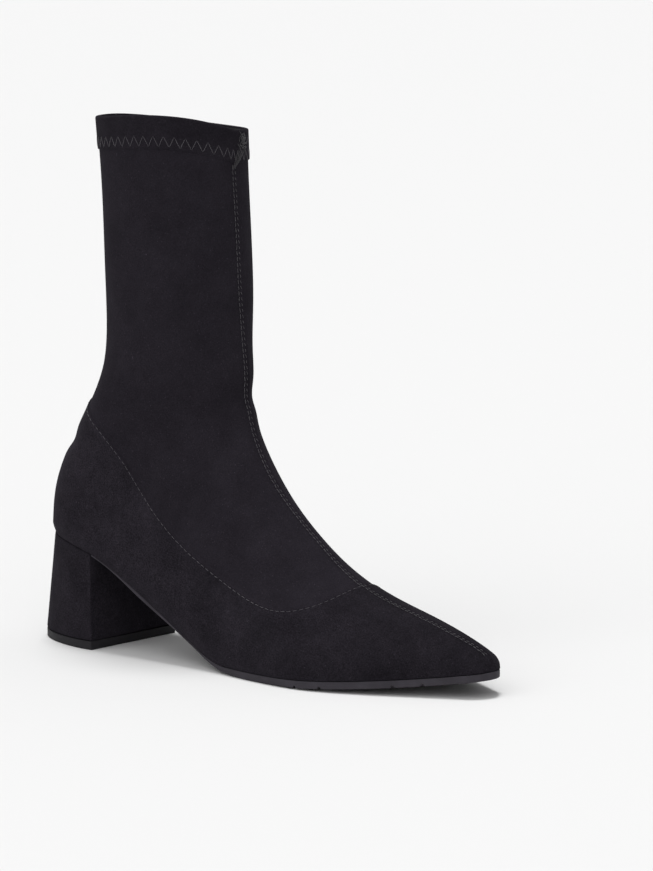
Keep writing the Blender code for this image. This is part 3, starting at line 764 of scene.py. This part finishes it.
def make_blocks(cover, tap, sole, sock):
    """Heel, its tap, sole and insole."""
    seat = outline_rails(0, BREAST, HEEL_SIDE_STATIONS, HEEL_MARGIN + PANEL_STEP, BREAST)
    foot = []
    for edge, outer in zip(seat, (True, False)):
        half = float(half_width(BREAST, outer)) + HEEL_MARGIN
        share = (edge[:, 0] - edge[0, 0]) / (BREAST - edge[0, 0])
        x = HEEL_FOOT_BACK + share * (BREAST - HEEL_FOOT_BACK)
        foot.append(np.stack([x, edge[:, 1] * HEEL_FOOT_WIDTH / 2 / half], axis=-1))
    front = BREAST + GAP
    tread = outline_rails(front, LENGTH, SOLE_SIDE_STATIONS, SOLE_MARGIN, front)
    bed = rails(np.linspace(0, walk(INSOLE_END * LENGTH), SOCK_STATIONS),
                -LINING_WALL - INSOLE_CLEARANCE)
    heel_faces = sole_top, level_face(TAP_THICKNESS + GAP)
    tap_faces = level_face(TAP_THICKNESS), level_face(0.0)
    bed_faces = sole_face(GAP + INSOLE_THICKNESS), sole_face(GAP)
    return {
        "heel": block("heel_cover", cover, seat, foot, heel_faces,
                      HEEL_BEVEL, LEVELS["heel"], BREAST),
        "heel_tap": block("heel_lift", tap, foot, foot, tap_faces,
                          EDGE_BEVEL, LEVELS["heel_tap"], BREAST),
        "outsole": block("sole_rubber", sole, tread, tread, (sole_top, sole_bottom),
                         EDGE_BEVEL, LEVELS["outsole"], front, tread_lift),
        "insole": block("sock_lining", sock, bed, bed, bed_faces,
                        EDGE_BEVEL, LEVELS["insole"], bed[0][-1, 0]),
    }


def link(name, data):
    """New object with this data, in the scene."""
    made = bpy.data.objects.new(name, data)
    bpy.context.scene.collection.objects.link(made)
    return made


class Sheet:
    """Grid faces collected into one mesh, with a material for each face."""

    def __init__(self):
        self.points, self.faces, self.slots, self.caps = [], [], [], []
        self.count = 0

    def grid(self, points, slot):
        """Adds a grid of points with a face in each of its cells."""
        rows, columns = points.shape[:2]
        index = self.count + np.arange(rows * columns).reshape(rows, columns)
        quads = np.stack([index[:-1, :-1], index[:-1, 1:], index[1:, 1:], index[1:, :-1]], axis=-1)
        self.points.append(points.reshape(-1, 3))
        self.faces.append(quads.reshape(-1, 4))
        slots = np.broadcast_to(slot, (rows - 1, columns - 1))
        self.slots.append(slots.reshape(-1))
        self.count += rows * columns

    def finish(self, name, materials):
        """The object made of all the grids and caps."""
        data = bpy.data.meshes.new(name)
        points = to_frame(np.concatenate(self.points))
        faces = np.concatenate(self.faces).tolist() + self.caps
        slots = np.concatenate([*self.slots, np.zeros(len(self.caps), int)])
        data.from_pydata(points.tolist(), [], faces)
        data.polygons.foreach_set("material_index", slots.astype(np.int32))
        mesh = bmesh.new()
        mesh.from_mesh(data)
        bmesh.ops.remove_doubles(mesh, verts=mesh.verts, dist=CLOSE)
        flat = [face for face in mesh.faces if face.calc_area() < NO_AREA]
        bmesh.ops.delete(mesh, geom=flat, context="FACES_ONLY")
        bmesh.ops.recalc_face_normals(mesh, faces=mesh.faces)
        mesh.to_mesh(data)
        mesh.free()
        for material in materials:
            data.materials.append(material)
        data.shade_smooth()
        data.set_sharp_from_angle(angle=math.radians(HARD_EDGE))
        return link(name, data)


def node(tree, kind, **sockets):
    """New shader node with the given input values."""
    made = tree.nodes.new(kind)
    for name, value in sockets.items():
        made.inputs[name.replace("_", " ")].default_value = value
    return made


def shaded(name, roughness, specular):
    """Material with its tree, its Principled shader and the place on the object."""
    material = bpy.data.materials.new(name)
    material.use_nodes = True
    tree = material.node_tree
    shader = tree.nodes["Principled BSDF"]
    shader.inputs["Roughness"].default_value = roughness
    shader.inputs["Specular IOR Level"].default_value = specular
    return material, tree, shader, tree.nodes.new("ShaderNodeTexCoord").outputs["Object"]


def feed(shader, name, socket):
    """Links a socket to one of the shader's inputs."""
    shader.id_data.links.new(socket, shader.inputs[name])


def noise(tree, place, scale, detail, roughness):
    """Noise with about this many grains a metre, as its scale."""
    made = node(tree, "ShaderNodeTexNoise", Scale=scale, Detail=detail, Roughness=roughness)
    feed(made, "Vector", place)
    return made.outputs["Fac"]


def ramp(tree, factor, stops):
    """Colour ramp through (place, grey or colour) stops."""
    made = tree.nodes.new("ShaderNodeValToRGB")
    band = made.color_ramp
    while len(band.elements) < len(stops):
        band.elements.new(0.5)
    for element, (spot, colour) in zip(band.elements, stops):
        element.position = spot
        rgb = colour if isinstance(colour, tuple) else (colour,) * 3
        element.color = (*rgb, 1)
    feed(made, "Fac", factor)
    return made.outputs["Color"]


def multiplied(tree, first, second, factor=1.0):
    """One colour socket times another, by a factor."""
    made = tree.nodes.new("ShaderNodeMix")
    made.data_type = "RGBA"
    made.blend_type = "MULTIPLY"
    made.inputs["Factor"].default_value = factor
    colours = [socket for socket in made.inputs if socket.type == "RGBA"]
    for value, socket in zip((first, second), colours):
        tree.links.new(value, socket)
    return next(socket for socket in made.outputs if socket.type == "RGBA")


def varied(tree, factor, colour, low, high, spread=0.33):
    """The colour, from low times as light to high times as light."""
    low, high = (tuple(gain * part for part in colour) for gain in (low, high))
    return ramp(tree, factor, ((0.35, low), (0.35 + spread, high)))


def bump(tree, shader, parts):
    """Chains bumps, each a height socket, a strength and a distance in metres."""
    last = None
    for height, strength, distance in parts:
        made = node(tree, "ShaderNodeBump", Strength=strength, Distance=distance)
        feed(made, "Height", height)
        if last:
            feed(made, "Normal", last)
        last = made.outputs["Normal"]
    feed(shader, "Normal", last)


def suede_material(name, dark, light, nap=1.0, grain_gain=1.0, fade=None):
    """Short-napped cloth: fine grain, brushed patches and a soft sheen; fade paints light and shade
    along the foot, lighter at the heel and darker at the toe.
    """
    material, tree, shader, place = shaded(name, 1.0, 0.03)
    patches = noise(tree, place, 55.0, 4.0, 0.55)
    brushed = noise(tree, place, 260.0, 3.0, 0.6)
    grain = noise(tree, place, 1700.0, 3.0, 0.75)
    fine = noise(tree, place, 4200.0, 2.0, 0.7)
    wide = ramp(tree, patches, ((0.35, dark), (0.68, light)))
    lint = noise(tree, place, 1250.0, 2.0, 0.5)
    specks = ramp(tree, grain, ((0.36, 1 - 0.45 * grain_gain), (0.66, 1 + 0.48 * grain_gain)))
    patch = ramp(tree, brushed, ((0.35, 1 - 0.10 * grain_gain), (0.66, 1 + 0.12 * grain_gain)))
    fibres = ramp(tree, lint, ((0.66, 1.0), (0.76, LINT_GAIN)))
    colour = multiplied(tree, wide, specks)
    colour = multiplied(tree, colour, patch, 0.8)
    colour = multiplied(tree, colour, fibres)
    # Painted light and shade: the colour is scaled by place along the foot, lighter at the heel and
    # darker towards the toe
    if fade:
        split = tree.nodes.new("ShaderNodeSeparateXYZ")
        feed(split, "Vector", place)
        along = node(tree, "ShaderNodeMapRange", From_Min=0.0, From_Max=LENGTH)
        feed(along, "Value", split.outputs["X"])
        colour = multiplied(tree, colour, ramp(tree, along.outputs["Result"], fade))
    feed(shader, "Base Color", colour)
    shader.inputs["Sheen Weight"].default_value = SUEDE_SHEEN
    shader.inputs["Sheen Roughness"].default_value = 0.5
    shader.inputs["Sheen Tint"].default_value = (0.86, 0.80, 0.95, 1)
    bump(tree, shader, (
        (brushed, 0.25 * nap, 0.0006),
        (grain, 0.55 * nap, 0.00025),
        (fine, 0.5 * nap, 0.00012),
    ))
    return material


def rubber_material(name, colour, roughness):
    """Moulded rubber: faint grain and a dull gloss."""
    material, tree, shader, place = shaded(name, roughness, 0.15)
    grain = noise(tree, place, 900.0, 3.0, 0.6)
    wear = noise(tree, place, 90.0, 4.0, 0.6)
    feed(shader, "Base Color", varied(tree, wear, colour, 0.82, 1.18))
    rough = ramp(tree, wear, ((0.3, roughness - 0.06), (0.7, roughness + 0.08)))
    feed(shader, "Roughness", rough)
    bump(tree, shader, ((grain, 0.35, 0.0001),))
    return material


def thread_material(name, colour):
    """Twisted sewing thread, a little glossier than the cloth."""
    material, tree, shader, place = shaded(name, 0.55, 0.4)
    strands = noise(tree, place, 5000.0, 2.0, 0.5)
    feed(shader, "Base Color", varied(tree, strands, colour, 0.7, 1.3, 0.30))
    shader.inputs["Sheen Weight"].default_value = 0.3
    bump(tree, shader, ((strands, 0.4, 0.0001),))
    return material


def weave_material(name, dark, light):
    """Fine knitted lining cloth."""
    material, tree, shader, place = shaded(name, 0.85, 0.2)
    knit = noise(tree, place, 2600.0, 2.0, 0.5)
    wide = noise(tree, place, 70.0, 3.0, 0.5)
    tone = ramp(tree, wide, ((0.3, dark), (0.7, light)))
    colour = multiplied(tree, tone, ramp(tree, knit, ((0.35, 0.7), (0.65, 1.3))))
    feed(shader, "Base Color", colour)
    shader.inputs["Sheen Weight"].default_value = 0.2
    bump(tree, shader, ((knit, 0.5, 0.0002),))
    return material


def make_upper(materials):
    """Outside, lining, rolled collar and base of the upper: suede, cloth, hem and lining."""
    levels, halves, steps = upper_rows()
    levels, steps, turns = mirrored(levels), mirrored(steps), mirrored(-halves, -1)
    outside, _ = surface(levels, turns, steps)
    outside = close_rows(outside, levels)
    suede_faces = (steps[:-1, :-1] == PANEL_STEP) & (steps[:-1, 1:] == PANEL_STEP)
    slot = np.where(suede_faces, 0, 1)
    slot[len(levels) - HEM_ROWS - 2 :] = 2
    sheet = Sheet()
    sheet.grid(outside, slot)
    seam_row = int(np.flatnonzero(levels[:, 0] >= HEEL_ROW)[0])
    kept = np.unique([*range(0, len(levels), LINING_SKIP), len(levels) - 1, seam_row])
    inside, _ = surface(levels[kept], turns[kept], np.full_like(turns[kept], -LINING_WALL))
    inside = close_rows(inside, levels[kept])
    sheet.grid(inside, 3)
    sheet.grid(rolled_edge(outside[-1], inside[-1], outside[-1] - outside[-2]), 2)
    base = kept <= seam_row
    for end in (0, -1):
        sheet.grid(np.stack([outside[kept[base], end], inside[base, end]]), 0)
    return sheet.finish("upper_cloth", materials)


def rolled_edge(first, second, upward):
    """Rows of a half round from one edge over to the other."""
    middle, half = (first + second) / 2, (first - second) / 2
    upward = unit(upward) * np.linalg.norm(half, axis=-1, keepdims=True)
    angles = np.linspace(0, np.pi, ROLL_STEPS + 1)
    return np.stack([middle + half * np.cos(a) + upward * np.sin(a) for a in angles])


def stitch_shape(length, radius):
    """Corners and faces of one stitch: a flattened bead along X, rising along Z."""
    points = []
    for along in np.linspace(-1, 1, STITCH_RINGS):
        size = radius * math.sqrt(max(1 - abs(along) ** 3, STITCH_END))
        sink = STITCH_SINK * radius * along**2
        for k in range(STITCH_SIDES):
            angle = 2 * math.pi * k / STITCH_SIDES
            height = math.sin(angle) * size * STITCH_FLAT - sink
            points.append((along * length / 2, math.cos(angle) * size, height))
    ring = list(range(STITCH_SIDES))
    last = [(STITCH_RINGS - 1) * STITCH_SIDES + k for k in ring]
    faces = []
    for start in range(0, last[0], STITCH_SIDES):
        for k in ring:
            near, far = start + k, start + (k + 1) % STITCH_SIDES
            faces.append((near, far, far + STITCH_SIDES, near + STITCH_SIDES))
    return np.array(points), [*faces, ring[::-1], last]


def sew(name, material, places, radius):
    """One mesh of stitches; each place is a centre, direction, normal and length."""
    corners, faces = [], []
    for centre, along, normal, length in places:
        shape, sides = stitch_shape(length, radius)
        start = len(corners) * len(shape)
        along = unit(along)
        across = unit(np.cross(normal, along))
        up = np.cross(along, across)
        corners.append(to_frame(centre + shape @ np.stack([along, across, up])))
        faces += [tuple(start + i for i in side) for side in sides]
    data = bpy.data.meshes.new(name)
    data.from_pydata(np.concatenate(corners).tolist(), [], faces)
    data.materials.append(material)
    data.shade_smooth()
    return link(name, data)


def along_line(levels, turns, out, pitch, length, offset, seed, jitter=0.06, slant=0.0):
    """Places for stitches along a line on the upper, set sideways by offset."""
    line, normal = surface(levels, turns, out, relief=False)
    line = line + unit(np.cross(normal, unit(np.gradient(line, axis=0)))) * offset
    way = way_along(line)
    rng = np.random.default_rng(seed)
    places = []
    for i in range(int(way[-1] / pitch)):
        middle = (i + 0.5) * pitch
        spots = np.array([middle - length / 2, middle, middle + length / 2])
        point = np.stack([np.interp(spots, way, line[:, k]) for k in range(3)], axis=-1)
        up = unit(np.array([np.interp(middle, way, normal[:, k]) for k in range(3)]))
        direction = point[2] - point[0]
        direction = direction + np.cross(up, direction) * (slant + rng.normal(0, jitter))
        places.append((point[1], direction, up, length * (1 + rng.normal(0, LENGTH_JITTER))))
    return places


def front_stitches():
    """Two rows down the front seam, from under the hem to the toe's tip."""
    hem = float(hem_levels(np.array([0.0]))[0][0])
    front, _ = panel_ends()
    levels = np.linspace(hem, FRONT_END, LINE_STEPS)
    out = np.where(levels <= front, PANEL_STEP, 0.0) + SEAM_RIDGE + FRONT_LIFT * STITCH_RADIUS
    rows = (-1, OUTER_LENGTH, 0.0), (1, STITCH_LENGTH, STITCH_SLANT)
    places = []
    for row, (side, length, slant) in enumerate(rows):
        offset = side * FRONT_ROW_OFFSET + FRONT_ROW_SHIFT
        places += along_line(levels, np.zeros_like(levels), out, STITCH_PITCH, length,
                             offset, FRONT_SEED + row, FRONT_JITTER, slant)
    return places


def hem_spot(depth, turn, lift):
    """Point on the hem at a depth from the collar, and the normal there."""
    top, turn = np.array([float(TOP_ROW)]), np.array([turn])
    level = top - section_step(top, turn, depth)
    point, normal = surface(level, turn, np.array([HEM_STEP + lift]), relief=False)
    return point[0], normal[0]


def tack_stitches():
    """Lump of short threads at the collar's front, and long slanted ones under it."""
    rng = np.random.default_rng(TACK_SEED)
    short, long = TACK_LENGTHS
    places = []
    for _ in range(TACK_STITCHES):
        depth = TACK_DEPTH * rng.random()
        turn = TACK_TURN + TACK_SPREAD * rng.normal()
        first, up = hem_spot(depth, turn, TACK_LIFT * rng.random())
        along = np.array([lean * rng.normal() for lean in TACK_LEAN])
        along -= up * (along @ up)
        places.append((first, along, up, short + (long - short) * rng.random()))
    for share in np.linspace(-0.5, 0.5, CROSS_STITCHES):
        (low, up), (high, _) = (
            hem_spot(end.depth - end.rise * share, end.turn + end.fan * share, end.lift)
            for end in CROSS_ENDS
        )
        places.append(((low + high) / 2, high - low, up, np.linalg.norm(high - low)))
    return places


def panel_stitches():
    """One row along the suede's upper edge, on both sides of the boot."""
    front, back = panel_ends()
    angles = np.linspace(PANEL_TRIM[0], np.pi - PANEL_TRIM[1], LINE_STEPS)
    levels = front + (back - front) * (1 - np.cos(angles)) / 2
    edge = panel_round(levels)
    out = np.full_like(levels, PANEL_STEP + PANEL_LIFT * STITCH_RADIUS)
    places = []
    for row, side in enumerate((-1, 1)):
        places += along_line(levels, side * edge, out, PANEL_PITCH, PANEL_STITCH,
                             -side * PANEL_ROW_OFFSET, PANEL_SEED + row)
    return places


def zigzag_stitches():
    """Zigzag round the hem, crowded where it crosses the front seam."""
    turns = np.linspace(-1, 1, ZIGZAG_STEPS)
    way = way_along(last_point(np.full_like(turns, TOP_ROW), turns))
    middle = way[-1] / 2
    spots = [0.0]
    while spots[-1] < way[-1]:
        near = bell((spots[-1] - middle) / CROWD_REACH)
        spots.append(spots[-1] + ZIGZAG_PITCH / 2 * (1 - CROWDING * near))
    at = np.interp(spots[:-1], way, turns)
    depth = np.where(np.arange(len(at)) % 2 == 0, ZIGZAG_TOP, ZIGZAG_BOTTOM)
    level = TOP_ROW - section_step(np.full_like(at, TOP_ROW), at, depth)
    out = np.full_like(at, HEM_STEP + ZIGZAG_LIFT * STITCH_RADIUS)
    points, normals = surface(level, at, out, relief=False)
    places = []
    for first, second, up in zip(points, points[1:], normals):
        along = second - first
        places.append(((first + second) / 2, along, up, np.linalg.norm(along) * ZIGZAG_SHARE))
    return places


def stage_scene():
    """Pale floor and even, soft studio light."""
    world = bpy.data.worlds.new("studio")
    world.use_nodes = True
    sky = world.node_tree.nodes["Background"]
    sky.inputs["Color"].default_value = (WALL_GREY, WALL_GREY, WALL_GREY, 1)
    bpy.context.scene.world = world
    bpy.ops.mesh.primitive_plane_add(size=FLOOR_SIZE, location=(0, 0, 0))
    floor = bpy.context.object
    floor.name = "floor"
    material, _, shader, _ = shaded("floor_paper", 0.9, 0.1)
    shader.inputs["Base Color"].default_value = (FLOOR_GREY, FLOOR_GREY, FLOOR_GREY, 1)
    floor.data.materials.append(material)
    for name, strength, spot, width in LIGHTS:
        lamp = bpy.data.lights.new(name, "SUN")
        lamp.energy = strength
        lamp.angle = math.radians(width)
        holder = link(name, lamp)
        holder.location = spot
        holder.rotation_euler = (-Vector(spot)).to_track_quat("-Z", "Y").to_euler()


def make_camera():
    """Camera of the photo."""
    turn, pitch = math.radians(CAMERA_TURN), math.radians(CAMERA_PITCH)
    level = math.cos(pitch)
    forward = Vector((-math.sin(turn) * level, math.cos(turn) * level, -math.sin(pitch)))
    aim = Vector(CAMERA_AIM) - Vector((ORIGIN_X, 0, 0))
    lens = bpy.data.cameras.new("camera")
    lens.sensor_fit = "VERTICAL"
    lens.sensor_height = CAMERA_SENSOR
    lens.lens = CAMERA_LENS
    holder = link("camera", lens)
    holder.location = aim - forward * CAMERA_AWAY
    holder.rotation_euler = forward.to_track_quat("-Z", "Y").to_euler()
    bpy.context.scene.camera = holder


def main():
    """Builds the pieces and the picture's stage."""
    bpy.context.scene.view_settings.view_transform = "Standard"
    # The foot's suede carries painted light and shade: lighter at the heel, darker at the toe
    suede = suede_material("suede", *SUEDE, fade=SUEDE_PAINTED_LIGHT)
    cloth = suede_material("stretch_suede", *STRETCH_SUEDE, nap=0.8, grain_gain=0.5)
    hem = suede_material("hem_suede", *HEM_SUEDE, nap=0.9, grain_gain=0.7)
    lining = weave_material("lining", *LINING_CLOTH)
    cover = suede_material("heel_suede", *HEEL_SUEDE, nap=1.1)
    sole = rubber_material("sole_rubber", SOLE_RUBBER, 0.65)
    tap = rubber_material("tap_rubber", TAP_RUBBER, 0.6)
    thread = thread_material("thread", THREAD)
    dark_thread = thread_material("dark_thread", DARK_THREAD)
    tack_thread = thread_material("tack_thread", TACK_THREAD)
    sock = weave_material("sock", *SOCK_CLOTH)

    upper = make_upper([suede, cloth, hem, lining])
    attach(upper, "root")
    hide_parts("upper")

    for name, places, material, radius in (
        ("front_seam_stitches", front_stitches(), dark_thread, STITCH_RADIUS),
        ("panel_stitches", panel_stitches(), thread, FINE_RADIUS),
        ("hem_zigzag", zigzag_stitches(), thread, FINE_RADIUS),
        ("collar_tack", tack_stitches(), tack_thread, FINE_RADIUS),
    ):
        piece = sew(name, material, places, radius)
        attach(piece, "root")

    for name, piece in make_blocks(cover, tap, sole, sock).items():
        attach(piece, "root")
        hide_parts(name)

    stage_scene()
    make_camera()


main()
